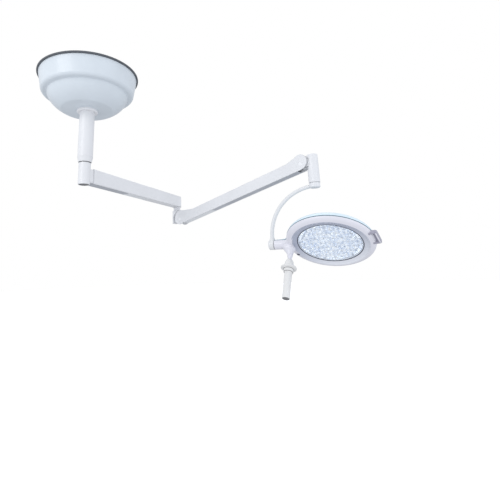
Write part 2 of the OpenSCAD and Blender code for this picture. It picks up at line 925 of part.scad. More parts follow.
module bezel_ring() {
    color("lightslategray")
    head_frame()
    difference() {
        rotate_extrude($fn = 144)
            polygon([[bezel_r + 0.1, bezel_z], [bezel_r + 0.1, bezel_z + 3.5], [bezel_r + 3.5, bezel_z + 3.5],
                [bezel_r + 3.5, bezel_z + 6], [bezel_r - 4, bezel_z + 6], [window_r, bezel_z + 8],
                [window_r, glass_z + 1], [window_r + 1, glass_z + 0.5], [bezel_r - 10, bezel_z + 0.6]]);
        translate([handle_x, 0, -40]) cylinder(r = spigot_r, h = 40);
        translate(button_place()) translate([0, 0, -10]) cylinder(r = button_size + 0.08, h = 30);
        rotate_extrude($fn = 144)
            translate([window_r - 1, glass_z + 1]) square([4.2, 3.8]);
    }
}

function button_place() = [button_r * cos(button_angle), button_r * sin(button_angle), bezel_z];

module glass_pane() {
    color("lightcyan", 0.4)
    head_frame() ring(window_r + 3, 0, glass_z + 1, glass_z + 4.5);
}

// Hexagonal field of lens centres
lens_steps = 3;
lens_centres = [for (i = [-lens_steps:lens_steps], j = [-lens_steps:lens_steps])
    if (abs(i + j) <= lens_steps) [lens_pitch * (i + j / 2), lens_pitch * j * sin(60)]];
lens_z = glass_z + 6;
lens_h = 16;
lens_r = 15.8;

module lens_array() {
    color("azure")
    head_frame()
    for (c = lens_centres)
        translate([c[0], c[1], lens_z])
        rotate_extrude($fn = 48)
            polygon([[0, 1.2], [lens_r, 0], [lens_r - 1.5, 6], [7, lens_h], [3.4, lens_h], [2.6, lens_h - 5],
                [0, lens_h - 5]]);
}

board_z = lens_z + lens_h + 0.4;

module led_board() {
    color("white")
    head_frame() {
        ring(116, 0, board_z, board_z + 1.6);
        for (c = lens_centres)
            translate([c[0] - 2, c[1] - 2, board_z - 2.2]) cube([4, 4, 2.2]);
    }
}

module heat_sink() {
    color("silver")
    head_frame() {
        ring(112, 0, board_z + 1.6, board_z + 5);
        intersection() {
            for (y = [-90:15:90])
                translate([-100, y - 1.5, board_z + 4.9]) cube([200, 3, 15]);
            ring(98, 0, board_z, board_z + 30);
        }
    }
}

// Fixed grip: a bar on two legs, with a pocket behind it for the fingertips
module rail_handle() {
    color("lavender")
    head_frame()
    rotate([0, 0, rail_centre])
    difference() {
        translate([rail_out - 22, 0, -13.5]) linear_extrude(height = 13) round_rect(44, rail_w, 8);
        translate([rail_in - 22, 0, -14.5]) linear_extrude(height = 11.5) round_rect(44, rail_w - 18, 5);
        disc_lower(-0.01);
    }
}

module handle_holder() {
    color("lavender")
    head_frame()
    difference() {
        union() {
            difference() {
                translate([handle_x, 0, 0])
                rotate_extrude()
                    polygon(concat([[0, -9], [24, -9], [25.5, -21]],
                        curve2([25, -25], [14, -38], [10.5, -58], 8), [[8, -62], [8, -74], [0, -74]]));
                disc_lower(-0.02);
                neck_shell(-0.02);
            }
            translate([handle_x, 0, -30]) cylinder(r = spigot_r, h = 29);
        }
        translate([handle_x, 0, -80]) cylinder(r = 3, h = 12);
    }
}

module power_button() {
    color("dimgray")
    head_frame()
    translate(button_place())
    rotate_extrude()
        polygon([[0, 9], [button_size, 9], [button_size, -0.4], [button_size - 1, -1.4], [0, -1.8]]);
}

// ---------- sterile handle ----------

bell_z = -75;
flange_z = -112;
grip_z = -132;
grip_end = grip_z - grip_len;

module sterile_grip() {
    color("gainsboro")
    head_frame()
    translate([handle_x, 0, 0])
    rotate_extrude()
        polygon(concat([[0, bell_z], [9.5, bell_z], [10.5, bell_z - 2]],
            curve2([11, -80], [16, -86], [17, -104], 6),
            [[17, flange_z + 4], [29, flange_z]],
            arc(29, flange_z - 2, 2, 90, -90, 6),
            [[20, flange_z - 5], [18.5, flange_z - 7], [18.5, grip_z + 2], [16.5, grip_z], [14.2, grip_z - 1],
                [15, grip_end - 11], [14, grip_end - 12], [12.6, grip_end - 12], [12.6, grip_end],
                [0, grip_end]]));
}

module grip_end_cap() {
    color("dimgray")
    head_frame()
    translate([handle_x, 0, 0])
    rotate_extrude()
        polygon([[0, grip_end], [12.6, grip_end], [12.6, grip_end - 11.4], [11.6, grip_end - 12.4],
            [0, grip_end - 12.8]]);
}

// ---------- selection ----------

ceiling_plate();
levelling_studs();
levelling_nuts();
tube_flange();
down_tube();
spindle_housing();
tube_bushes();
tube_brake_screws();
thrust_washer();
canopy();
canopy_rim();
canopy_collar();
collar_screw();
power_supply();
terminal_block();
arm_spindle();
spindle_ring();
arm_hub();
hub_cap();
arm_profile();
cable_cover();
cover_strip();
arm_end_housing();
arm_end_cap();
swivel_bushes();
rear_knuckle();
swivel_spindle();
swivel_ring();
rear_pivot_pin();
spring_arm_casing();
rear_bottom_cover();
front_bottom_cover();
compression_spring();
spring_rod();
adjusting_nut();
pivot_plugs();
levelling_rod();
front_knuckle();
front_pivot_pin();
yoke_bush();
yoke_hub();
yoke_ring();
yoke_bow();
tilt_knuckle();
tilt_cap();
tilt_bush();
head_housing();
head_cover();
seam_gasket();
neck_casting();
bezel_ring();
glass_pane();
lens_array();
led_board();
heat_sink();
rail_handle();
handle_holder();
power_button();
sterile_grip();
grip_end_cap();
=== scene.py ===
"""Surgical light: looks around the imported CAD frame.

Shapes are built in millimetres in a local frame, and objects are in metres in the row frame.
"""

import json
import math

import bmesh
import bpy
import numpy as np
from mathutils import Matrix, Vector


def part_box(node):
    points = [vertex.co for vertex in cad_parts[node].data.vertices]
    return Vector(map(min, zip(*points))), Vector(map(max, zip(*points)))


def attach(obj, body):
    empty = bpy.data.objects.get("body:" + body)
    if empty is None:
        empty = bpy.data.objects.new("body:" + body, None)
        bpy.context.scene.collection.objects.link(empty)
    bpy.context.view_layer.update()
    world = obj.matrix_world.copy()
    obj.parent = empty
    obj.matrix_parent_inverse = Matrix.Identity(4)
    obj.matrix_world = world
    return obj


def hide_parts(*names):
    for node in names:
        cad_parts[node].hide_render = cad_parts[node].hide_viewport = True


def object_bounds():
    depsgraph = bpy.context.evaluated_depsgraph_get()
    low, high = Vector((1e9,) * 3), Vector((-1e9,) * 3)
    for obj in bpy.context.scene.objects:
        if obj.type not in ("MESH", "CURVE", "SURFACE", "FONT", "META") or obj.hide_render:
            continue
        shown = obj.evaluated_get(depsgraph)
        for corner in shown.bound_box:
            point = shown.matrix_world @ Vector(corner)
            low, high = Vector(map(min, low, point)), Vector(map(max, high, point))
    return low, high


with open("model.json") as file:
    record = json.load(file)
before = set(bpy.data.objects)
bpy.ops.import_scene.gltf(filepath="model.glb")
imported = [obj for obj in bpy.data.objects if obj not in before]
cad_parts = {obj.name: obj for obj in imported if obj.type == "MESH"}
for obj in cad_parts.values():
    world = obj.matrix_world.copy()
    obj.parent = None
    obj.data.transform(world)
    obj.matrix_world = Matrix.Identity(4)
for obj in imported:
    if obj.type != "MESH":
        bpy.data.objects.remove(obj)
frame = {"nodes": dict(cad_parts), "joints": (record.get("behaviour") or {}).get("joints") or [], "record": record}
CAD_LOW, CAD_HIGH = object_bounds()
MM = 0.001
JOINTS = {j["name"]: j for j in frame["joints"]}
NODES = frame["nodes"]


# ---------- frames ----------

def joint_pos(name):
    return Vector(JOINTS[name]["pos_m"])


def joint_axis(name):
    return Vector(JOINTS[name]["axis"]).normalized()


def frame_of(x_axis, z_axis, origin):
    """Matrix whose X and Z run along the two axes given."""
    x = x_axis.normalized()
    y = z_axis.cross(x).normalized()
    z = x.cross(y)
    m = Matrix((x, y, z)).transposed().to_4x4()
    m.translation = origin
    return m


# Place of the focus_turn joint in the head's frame, whose X runs to the neck and Z away from the beam
HANDLE_X = 152.0
HANDLE_TOP = -75.0
TILT_AXIS = joint_axis("head_tilt")
BEAM_BACK = joint_axis("focus_turn")
HEAD_CENTRE = joint_pos("focus_turn") - TILT_AXIS * HANDLE_X * MM - BEAM_BACK * HANDLE_TOP * MM
HEAD = frame_of(TILT_AXIS, BEAM_BACK, HEAD_CENTRE)
HANDLE = frame_of(TILT_AXIS, BEAM_BACK, joint_pos("focus_turn") - BEAM_BACK * HANDLE_TOP * MM)
ROW = Matrix.Identity(4)


# ---------- materials ----------

# Sockets of the Mix node in its colour mode
MIX_FACTOR, MIX_A, MIX_B, MIX_RESULT = 0, 6, 7, 2


class Tree:
    """Small helper around one material's node tree."""

    def __init__(self, name):
        self.material = bpy.data.materials.new(name)
        self.material.use_nodes = True
        self.nodes = self.material.node_tree.nodes
        self.links = self.material.node_tree.links
        self.shader = self.nodes["Principled BSDF"]
        self.coords = self.nodes.new("ShaderNodeTexCoord").outputs["Object"]

    def link(self, a, b):
        self.links.new(a, b)

    def drive(self, **sockets):
        """Link values into the shader's inputs."""
        for key, value in sockets.items():
            self.link(value, self.shader.inputs[key.replace("_", " ")])

    def set(self, **values):
        """Set uniform values on the shader's inputs."""
        for key, value in values.items():
            self.shader.inputs[key.replace("_", " ")].default_value = value

    def noise(self, scale, detail=3.0, rough=0.55, stretch=None):
        n = self.nodes.new("ShaderNodeTexNoise")
        n.inputs["Scale"].default_value = scale
        n.inputs["Detail"].default_value = detail
        n.inputs["Roughness"].default_value = rough
        source = self.coords
        if stretch:
            m = self.nodes.new("ShaderNodeMapping")
            m.inputs["Scale"].default_value = stretch
            self.link(self.coords, m.inputs["Vector"])
            source = m.outputs["Vector"]
        self.link(source, n.inputs["Vector"])
        return n.outputs["Fac"]

    def span(self, value, low, high, from_low=0.3, from_high=0.7):
        n = self.nodes.new("ShaderNodeMapRange")
        n.inputs["From Min"].default_value = from_low
        n.inputs["From Max"].default_value = from_high
        n.inputs["To Min"].default_value = low
        n.inputs["To Max"].default_value = high
        self.link(value, n.inputs["Value"])
        return n.outputs["Result"]

    def mix(self, factor, a, b):
        """Blend of two colours, each a tuple or a socket."""
        n = self.nodes.new("ShaderNodeMix")
        n.data_type = "RGBA"
        for socket, value in ((n.inputs[MIX_A], a), (n.inputs[MIX_B], b)):
            if isinstance(value, tuple):
                socket.default_value = (*value, 1.0)
            else:
                self.link(value, socket)
        self.link(factor, n.inputs[MIX_FACTOR])
        return n.outputs[MIX_RESULT]

    def vector_math(self, operation, value, other):
        n = self.nodes.new("ShaderNodeVectorMath")
        n.operation = operation
        n.inputs[1].default_value = other
        self.link(value, n.inputs[0])
        return n

    def bump(self, height, strength, distance, normal=None):
        n = self.nodes.new("ShaderNodeBump")
        n.inputs["Strength"].default_value = strength
        n.inputs["Distance"].default_value = distance * MM
        self.link(height, n.inputs["Height"])
        if normal:
            self.link(normal, n.inputs["Normal"])
        return n.outputs["Normal"]

    def soft_edge(self, radius):
        n = self.nodes.new("ShaderNodeBevel")
        n.samples = 4
        n.inputs["Radius"].default_value = radius * MM
        return n.outputs["Normal"]


def scaled(colour, k):
    return tuple(min(1.0, c * k) for c in colour)


# Noise scales that several materials share, in cells per metre
DRIFT, SMEAR, CLOUD, BRUSH, SPECK = 7.0, 38.0, 24.0, 900.0, 2600.0
ACRYLIC_IOR, GLASS_IOR = 1.49, 1.5
PEEL_DEPTH, BRUSH_DEPTH, RIPPLE_DEPTH = 0.05, 0.03, 0.4
ALONG, EVEN = (1.0, 1.0, 0.04), (1.0, 1.0, 1.0)


def coated(name, colour, rough, vary=0.035, peel=(420, 0.1), edge=1.2, coat=0.0, specks=0.0):
    """Powder coat or moulded plastic: tone drift, uneven gloss, orange peel and soft edges.

    peel is the scale and strength of the orange peel, and edge the soft edges' radius in millimetres.
    """
    t = Tree(name)
    drift = t.span(t.noise(DRIFT, 4.0), 0.0, 1.0)
    tone = t.mix(drift, scaled(colour, 1 - vary), scaled(colour, 1 + vary * 0.6))
    if specks:
        fine = t.noise(SPECK, 1.0, 0.4)
        tone = t.mix(t.span(fine, 0.0, specks, 0.56, 0.72), tone, scaled(colour, 0.62))
    smear = t.noise(SMEAR, 5.0, 0.65, (1.0, 1.0, 0.35))
    skin = t.noise(peel[0], 2.0, 0.5)
    t.drive(Base_Color=tone, Roughness=t.span(smear, rough - 0.06, rough + 0.07),
            Normal=t.bump(skin, peel[1], PEEL_DEPTH, t.soft_edge(edge) if edge else None))
    t.set(IOR=ACRYLIC_IOR, Coat_Weight=coat, Coat_Roughness=0.12)
    return t.material


def metal(name, colour, rough, grain=EVEN, strength=0.3, edge=0.5):
    """Turned, brushed or plated metal with its grain along one way."""
    t = Tree(name)
    lines = t.noise(BRUSH, 2.0, 0.6, grain)
    cloud = t.noise(CLOUD, 5.0, 0.6)
    tone = t.mix(t.span(lines, 0.0, 1.0), scaled(colour, 0.86), scaled(colour, 1.08))
    t.drive(Base_Color=t.mix(t.span(cloud, 0.0, 0.35), tone, scaled(colour, 0.78)),
            Roughness=t.span(cloud, rough - 0.08, rough + 0.12),
            Normal=t.bump(lines, strength, BRUSH_DEPTH, t.soft_edge(edge)))
    t.set(Metallic=1.0)
    return t.material


def lens_plastic(name):
    """Clear moulded optic over a cool white light source, with painted highlights: bright and blue patches that
    also glow through a weak emission.
    """
    t = Tree(name)
    # Painted highlights and reflections: patches of white and blue in the colour, also given off as a weak glow.
    painted_highlight_patches = t.span(t.noise(110.0, 2.0), 0.0, 1.0, 0.36, 0.58)
    tone = t.mix(painted_highlight_patches, (0.56, 0.65, 0.80), (0.97, 0.99, 1.0))
    ripple = t.noise(180.0, 2.0)
    t.drive(Base_Color=tone, Emission_Color=tone, Roughness=t.span(ripple, 0.04, 0.16),
            Normal=t.bump(ripple, 0.2, RIPPLE_DEPTH))
    t.set(IOR=ACRYLIC_IOR, Transmission_Weight=0.35, Coat_Weight=0.5, Coat_Roughness=0.05,
          Emission_Strength=0.3)
    return t.material


def pane(name):
    """Clear safety glass, thin and slightly blue."""
    t = Tree(name)
    haze = t.noise(30.0, 4.0)
    t.drive(Base_Color=t.mix(t.span(haze, 0.0, 1.0), (0.80, 0.88, 0.97), (0.9, 0.96, 1.0)),
            Roughness=t.span(haze, 0.03, 0.09))
    t.set(IOR=GLASS_IOR, Alpha=0.16, Coat_Weight=0.6, Coat_Roughness=0.03)
    return t.material


def bezel_plastic(name):
    """Blue-grey moulding whose tone fades to white across the ring; the blue-grey side is painted shade, set by
    position across the ring.
    """
    painted_shade_way, full_painted_shade_at, no_painted_shade_at = Vector((0.35, 0.94, 0.0)), 0.06, -0.135
    t = Tree(name)
    # Painted shade: the tone darkens to blue-grey towards one side of the ring by position, not by the light.
    offset = t.vector_math("SUBTRACT", t.coords, HEAD_CENTRE).outputs["Vector"]
    across = t.vector_math("DOT_PRODUCT", offset, HEAD.to_3x3() @ painted_shade_way).outputs["Value"]
    painted_shade_blend = t.span(across, 1.0, 0.0, no_painted_shade_at, full_painted_shade_at)
    t.drive(Base_Color=t.mix(painted_shade_blend, (0.42, 0.46, 0.57), (0.78, 0.8, 0.85)),
            Roughness=t.span(t.noise(SMEAR, 5.0), 0.2, 0.3),
            Normal=t.bump(t.noise(380.0, 2.0), 0.05, PEEL_DEPTH, t.soft_edge(0.5)))
    t.set(IOR=ACRYLIC_IOR, Coat_Weight=0.5, Coat_Roughness=0.12)
    return t.material


METALS = {
    "plate_steel": dict(colour=(0.55, 0.56, 0.58), rough=0.42),
    "zinc_steel": dict(colour=(0.66, 0.67, 0.68), rough=0.34, strength=0.2),
    "turned_steel": dict(colour=(0.62, 0.63, 0.65), rough=0.24, grain=ALONG, strength=0.25),
    "spring_steel": dict(colour=(0.28, 0.28, 0.3), rough=0.36, strength=0.15),
    "dark_screw": dict(colour=(0.12, 0.12, 0.13), rough=0.4, strength=0.15),
    "bronze": dict(colour=(0.6, 0.4, 0.2), rough=0.4),
    "cast_aluminium": dict(colour=(0.66, 0.67, 0.68), rough=0.42, strength=0.5, edge=0.8),
}
COATS = {
    "arm_paint": dict(colour=(0.76, 0.77, 0.79), rough=0.4, vary=0.03,
                      peel=(520, 0.12), edge=1.4, coat=0.15),
    "yoke_paint": dict(colour=(0.74, 0.75, 0.76), rough=0.4, vary=0.03,
                       peel=(520, 0.12), coat=0.15),
    "canopy_paint": dict(colour=(0.66, 0.72, 0.77), rough=0.36, vary=0.04,
                         peel=(300, 0.06), edge=1.0, coat=0.25),
    "canopy_seal": dict(colour=(0.10, 0.11, 0.125), rough=0.62, vary=0.12,
                        peel=(1500, 0.35), edge=0.8, specks=0.15),
    "dark_seal": dict(colour=(0.05, 0.05, 0.055), rough=0.6, vary=0.1, peel=(1500, 0.3), edge=0.4),
    "white_plastic": dict(colour=(0.84, 0.85, 0.87), rough=0.33, vary=0.02,
                          peel=(700, 0.06), edge=0.9, coat=0.2),
    "supply_case": dict(colour=(0.07, 0.08, 0.09), rough=0.45, vary=0.1, peel=(900, 0.2), edge=0.8),
    "terminal_plastic": dict(colour=(0.72, 0.7, 0.62), rough=0.45, vary=0.05,
                             peel=(900, 0.1), edge=0.6),
    "cap_dark": dict(colour=(0.2, 0.2, 0.205), rough=0.5, vary=0.12,
                     peel=(1300, 0.3), edge=0.9, specks=0.2),
    # cover_dark is a darker grey copy of cover_light: its darker grey is painted shade on the underside of the
    # arm.
    "cover_dark": dict(colour=(0.47, 0.49, 0.53), rough=0.52, vary=0.1,
                       peel=(1300, 0.25), edge=0.7, specks=0.1),
    "cover_light": dict(colour=(0.77, 0.79, 0.81), rough=0.42, vary=0.03,
                        peel=(1100, 0.18), edge=0.8),
    "head_plastic": dict(colour=(0.75, 0.75, 0.81), rough=0.34, vary=0.025,
                         peel=(380, 0.07), edge=1.0, coat=0.25),
    "cover_blue": dict(colour=(0.68, 0.81, 0.89), rough=0.36, vary=0.04,
                       peel=(380, 0.07), edge=1.0, coat=0.25),
    "gasket_teal": dict(colour=(0.03, 0.11, 0.16), rough=0.5, vary=0.1, peel=(900, 0.2), edge=0.0),
    "board_white": dict(colour=(0.8, 0.83, 0.88), rough=0.35, vary=0.03,
                        peel=(700, 0.08), edge=0.3),
    "button_dark": dict(colour=(0.09, 0.095, 0.13), rough=0.5, vary=0.1,
                        peel=(1100, 0.3), edge=0.7),
    "grip_plastic": dict(colour=(0.76, 0.76, 0.75), rough=0.38, vary=0.03,
                         peel=(600, 0.1), edge=0.8, coat=0.15),
}
MATERIALS = {name: metal(name, **look) for name, look in METALS.items()}
MATERIALS.update((name, coated(name, **look)) for name, look in COATS.items())
MATERIALS["bezel_plastic"] = bezel_plastic("bezel_plastic")
MATERIALS["clear_glass"] = pane("clear_glass")
MATERIALS["lens_optic"] = lens_plastic("lens_optic")
LED_DARK = coated("led_dark", (0.05, 0.06, 0.1), rough=0.3, vary=0.1, peel=(1200, 0.2), edge=0.0)
# Painted shade: the head's lilac plastic at about half brightness, for the rail grip.
RAIL_PAINTED_SHADE = coated("rail_painted_shade", (0.36, 0.355, 0.43), rough=0.36, vary=0.05,
                   peel=(380, 0.07), edge=0.8, coat=0.2)
RING_INK = coated("ring_ink", (0.035, 0.045, 0.075), rough=0.3, vary=0.1,
                  peel=(900, 0.1), edge=0.0, coat=0.3)

SUBPARTS = {s["node"]: s["material_slot"] for s in frame["record"]["subparts"]}
for node_name, node in NODES.items():
    material = MATERIALS[SUBPARTS[node_name]]
    if not node.material_slots:
        node.data.materials.append(material)
    for material_slot in node.material_slots:
        material_slot.material = material


# ---------- shapes ----------

# Largest share of a side that a rounded corner takes
LONGEST_CUT = 0.49
# Radius below which a point of a profile lies on the axis
ON_AXIS = 1e-6


def rounded(points, radius, steps=5, closed=True):
    """Corners of a polyline turned into short curves; a point's third number is its own radius."""
    out = []
    n = len(points)
    for i, p in enumerate(points):
        here = np.array(p[:2], float)
        r = p[2] if len(p) > 2 else radius
        if (not closed and i in (0, n - 1)) or r <= 0:
            out.append(tuple(here))
            continue
        a = np.array(points[i - 1][:2], float) - here
        b = np.array(points[(i + 1) % n][:2], float) - here
        la, lb = np.linalg.norm(a), np.linalg.norm(b)
        cut = min(r, la * LONGEST_CUT, lb * LONGEST_CUT)
        pa, pb = here + a / la * cut, here + b / lb * cut
        for k in range(steps + 1):
            s = k / steps
            out.append(tuple((1 - s) ** 2 * pa + 2 * s * (1 - s) * here + s * s * pb))
    return out


def curve(a, b, c, steps):
    """Quadratic curve from a to c, pulled towards b."""
    a, b, c = (np.array(p, float) for p in (a, b, c))
    stations = np.linspace(0, 1, steps + 1)
    return [tuple((1 - t) ** 2 * a + 2 * t * (1 - t) * b + t * t * c) for t in stations]


def revolve(profile, steps=96, closed=True):
    """Vertices and faces of a profile of (radius, height) turned about local Z."""
    verts, rings = [], []
    for r, z in profile:
        if r < ON_AXIS:
            rings.append([len(verts)])
            verts.append((0.0, 0.0, z))
            continue
        rings.append(list(range(len(verts), len(verts) + steps)))
        for i in range(steps):
            a = 2 * math.pi * i / steps
            verts.append((r * math.cos(a), r * math.sin(a), z))
    pairs = list(zip(rings[:-1], rings[1:]))
    if closed:
        pairs.append((rings[-1], rings[0]))
    faces = []
    for low, high in pairs:
        if len(low) == 1 and len(high) == 1:
            continue
        for i in range(steps):
            j = (i + 1) % steps
            if len(low) == 1:
                faces.append((low[0], high[i], high[j]))
            elif len(high) == 1:
                faces.append((low[i], high[0], low[j]))
            else:
                faces.append((low[i], high[i], high[j], low[j]))
    return verts, faces


def shade(mesh, angle):
    mesh.polygons.foreach_set("use_smooth", [True] * len(mesh.polygons))
    mesh.set_sharp_from_angle(angle=math.radians(angle))
    mesh.update()


def piece(name, shape, place, slot, body, replaces=(), sharp=32, material=None):
    """One finished object from local vertices in millimetres."""
    verts, faces = shape
    mesh = bpy.data.meshes.new(name)
    mesh.from_pydata([place @ (Vector(v) * MM) for v in verts], [], faces)
    bm = bmesh.new()
    bm.from_mesh(mesh)
    bmesh.ops.recalc_face_normals(bm, faces=bm.faces)
    bm.to_mesh(mesh)
    bm.free()
    shade(mesh, sharp)
    obj = bpy.data.objects.new(name, mesh)
    bpy.context.scene.collection.objects.link(obj)
    mesh.materials.append(material or MATERIALS[slot])
    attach(obj, body)
    if replaces:
        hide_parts(*replaces)
    return obj


def merged(shapes):
    verts, faces = [], []
    for v, f in shapes:
        base = len(verts)
        verts.extend(v)
        faces.extend(tuple(i + base for i in face) for face in f)
    return verts, faces


def moved(shape, matrix):
    """Shape with its vertices turned and shifted, still in millimetres."""
    verts, faces = shape
    return [tuple(matrix @ Vector(v)) for v in verts], faces


def shift(x=0.0, y=0.0, z=0.0):
    return Matrix.Translation((x, y, z))


# ---------- canopy ----------

CANOPY_R = (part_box("canopy_rim")[1].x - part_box("canopy_rim")[0].x) / 2 / MM
CANOPY_H = -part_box("canopy")[0].z / MM
CANOPY_WALL = 2.5
SEAL_H = 7.0
TUBE_HOLE_R = 32.2
TURN_STEPS = 160


def canopy_profile():
    """Upright band, fillet, small step and the bowl down to the tube, then back up inside the wall."""
    band_top, band_low, band_z, fillet = CANOPY_R - 7, CANOPY_R - 18, -85.0, 15.0
    bowl_top, bowl_low, step_z = CANOPY_R - 42, CANOPY_R - 101, band_z - 1.5
    outer = [(band_top, -SEAL_H)]
    outer += [(band_low - fillet + fillet * math.cos(a), band_z + fillet + fillet * math.sin(a))
              for a in np.linspace(0, -math.pi / 2, 15)]
    outer += [(bowl_top + 3.5, band_z), (bowl_top, step_z)]
    outer += curve((bowl_top, step_z), (bowl_top - 12, -125), (bowl_low, -CANOPY_H + 0.4), 26)[1:]
    outer += [(bowl_low - 3, -CANOPY_H), (TUBE_HOLE_R, -CANOPY_H)]
    inner = [(max(r - CANOPY_WALL, TUBE_HOLE_R), z + CANOPY_WALL) for r, z in reversed(outer)]
    inner[-1] = (band_top - CANOPY_WALL, -SEAL_H)
    return outer + inner


piece("canopy_shell", revolve(canopy_profile(), TURN_STEPS),
      ROW, "canopy_paint", "ceiling_mount", ["canopy"])
rim = rounded([(CANOPY_R - 18, 0, 0), (CANOPY_R - 18, -SEAL_H, 0), (CANOPY_R - 4, -SEAL_H, 1.6),
               (CANOPY_R - 0.4, -6.6, 1.5), (CANOPY_R, -3.5, 2.5), (CANOPY_R - 0.6, 0, 1.2)], 1.0)
piece("canopy_edge_seal", revolve(rim, TURN_STEPS),
      ROW, "canopy_seal", "ceiling_mount", ["canopy_rim"])


# ---------- lamp head shell ----------

HEAD_R = 165.0
HEAD_TOP = 42.0
SKIN = 2.6
# Half height of the seam seal
SEAM_GAP = 1.5
COLLAR_R, COLLAR_X, COLLAR_END = 20.5, 196.0, 220.5
BEZEL_R, BEZEL_Z = 145.0, -16.0
RIM_Z = BEZEL_Z + 0.2
FAR = 1e9


def polygon_distance(points, poly):
    """Signed distance from 2-D points to a closed outline, negative inside."""
    poly = np.array(poly, float)
    nxt = np.roll(poly, -1, axis=0)
    best = np.full(len(points), FAR)
    inside = np.zeros(len(points), bool)
    for a, b in zip(poly, nxt):
        d = b - a
        t = np.clip(((points - a) @ d) / (d @ d), 0, 1)
        best = np.minimum(best, np.linalg.norm(points - a - t[:, None] * d, axis=1))
        if a[1] != b[1]:
            crosses = (a[1] > points[:, 1]) != (b[1] > points[:, 1])
            x = (b[0] - a[0]) * (points[:, 1] - a[1]) / (b[1] - a[1]) + a[0]
            inside ^= crosses & (points[:, 0] < x)
    return np.where(inside, -best, best)


# Half section of the round head: beam side, rim, shoulder and dome, closed past the axis
SHOULDER = (HEAD_R - 20, 27.5)
DISC = (
    curve((BEZEL_R - 2, RIM_Z), (HEAD_R - 0.5, BEZEL_Z + 3.5), (HEAD_R, 0), 16)
    + curve((HEAD_R, 0), (HEAD_R - 0.2, 19), SHOULDER, 12)[1:]
    + curve(SHOULDER, (HEAD_R - 70, 41), (0, HEAD_TOP), 20)[1:]
    + [(-40, HEAD_TOP), (-40, RIM_Z)]
)


def smooth_step(x, start, end):
    t = np.clip((x - start) / (end - start), 0, 1)
    return t * t * (3 - 2 * t)


def neck_half_width(x):
    """Half width of the neck, which flares from the collar into the disc."""
    root_x, flare, power = 120, 38, 2.1
    t = np.clip((x - root_x) / (COLLAR_X - root_x), 0, 1)
    return COLLAR_R + flare * (1 - t) ** power


def neck_distance(p):
    """Near-distance to the neck, whose section goes from a flat oval at its root to the round collar."""
    root_x, root_low, root_high, squareness, edge = 130, -14.5, 27, 0.8, 1.5
    x, y, z = p[:, 0], p[:, 1], p[:, 2]
    w = neck_half_width(x)
    s = smooth_step(x, root_x, COLLAR_X)
    low = root_low * (1 - s) - COLLAR_R * s
    high = root_high * (1 - s) + COLLAR_R * s
    mid, half = (low + high) / 2, (high - low) / 2
    power = 2.0 + squareness * (1 - s)
    q = (np.abs(y / w) ** power + np.abs((z - mid) / half) ** power) ** (1 / power)
    side = (q - 1) * np.minimum(w, half) + edge
    end = x - COLLAR_END + edge
    a, b = np.maximum(side, 0), np.maximum(end, 0)
    return np.sqrt(a * a + b * b) + np.minimum(np.maximum(side, end), 0) - edge


def head_distance(p):
    """Near-distance to the disc and neck, joined by a soft fillet on the neck's side only."""
    fillet, fillet_from_x = 12.0, 60
    disc = polygon_distance(np.stack([np.hypot(p[:, 0], p[:, 1]), p[:, 2]], 1), DISC)
    neck = neck_distance(p)
    h = np.clip(0.5 + 0.5 * (neck - disc) / fillet, 0, 1)
    blend = neck * (1 - h) + disc * h - fillet * h * (1 - h)
    return np.where(p[:, 0] > fillet_from_x, blend, disc)


def seam_height(x):
    """The seam is level round the disc and rises along the neck."""
    rise, rise_from_x = 9.5, 140
    return rise * smooth_step(x, rise_from_x, COLLAR_X)


def neck_tube():
    """Plain closed tube that fills the neck."""
    start_x, stations, around, half = 118, 25, 32, COLLAR_R - 1
    rings, verts, faces = [], [], []
    for x in np.linspace(start_x, COLLAR_END, stations):
        w = float(neck_half_width(np.array([x]))[0])
        rings.append(range(len(verts), len(verts) + around))
        for i in range(around):
            a = 2 * math.pi * i / around
            verts.append((x, w * math.cos(a), half * math.sin(a)))
    for a, b in zip(rings[:-1], rings[1:]):
        for i in range(around):
            j = (i + 1) % around
            faces.append((a[i], a[j], b[j], b[i]))
    faces.append(tuple(reversed(rings[0])))
    faces.append(tuple(rings[-1]))
    return verts, faces


def drawn_to_surface(p):
    """Points moved in a few short steps onto the head's smooth surface."""
    passes, probe, least_slope, longest_step = 7, 0.05, 0.2, 3
    for _ in range(passes):
        d = head_distance(p)
        g = np.zeros_like(p)
        for axis in range(3):
            step = np.zeros(3)
            step[axis] = probe
            g[:, axis] = (head_distance(p + step) - head_distance(p - step)) / (2 * probe)
        norm = np.maximum((g * g).sum(1), least_slope)
        p = p - g * np.clip(d / norm, -longest_step, longest_step)[:, None]
    return p


def head_blank():
    """Closed mesh of the whole head and neck: voxels of both solids, drawn onto the smooth surface."""
    half_section = [(max(r, 0), z) for r, z in reversed(DISC[:-2])]
    disc = revolve([(0, HEAD_TOP)] + half_section + [(0, RIM_Z)], 96, closed=False)
    verts, faces = merged([disc, neck_tube()])
    mesh = bpy.data.meshes.new("head_blank")
    mesh.from_pydata(verts, [], faces)
    obj = bpy.data.objects.new("head_blank", mesh)
    bpy.context.scene.collection.objects.link(obj)
    remesh = obj.modifiers.new("voxels", "REMESH")
    remesh.mode = "VOXEL"
    remesh.voxel_size = 2.6
    bpy.context.view_layer.update()
    made = bpy.data.meshes.new_from_object(obj.evaluated_get(bpy.context.evaluated_depsgraph_get()))
    bpy.data.objects.remove(obj)
    p = np.zeros(len(made.vertices) * 3)
    made.vertices.foreach_get("co", p)
    made.vertices.foreach_set("co", drawn_to_surface(p.reshape(-1, 3)).ravel())
    made.update()
    return made


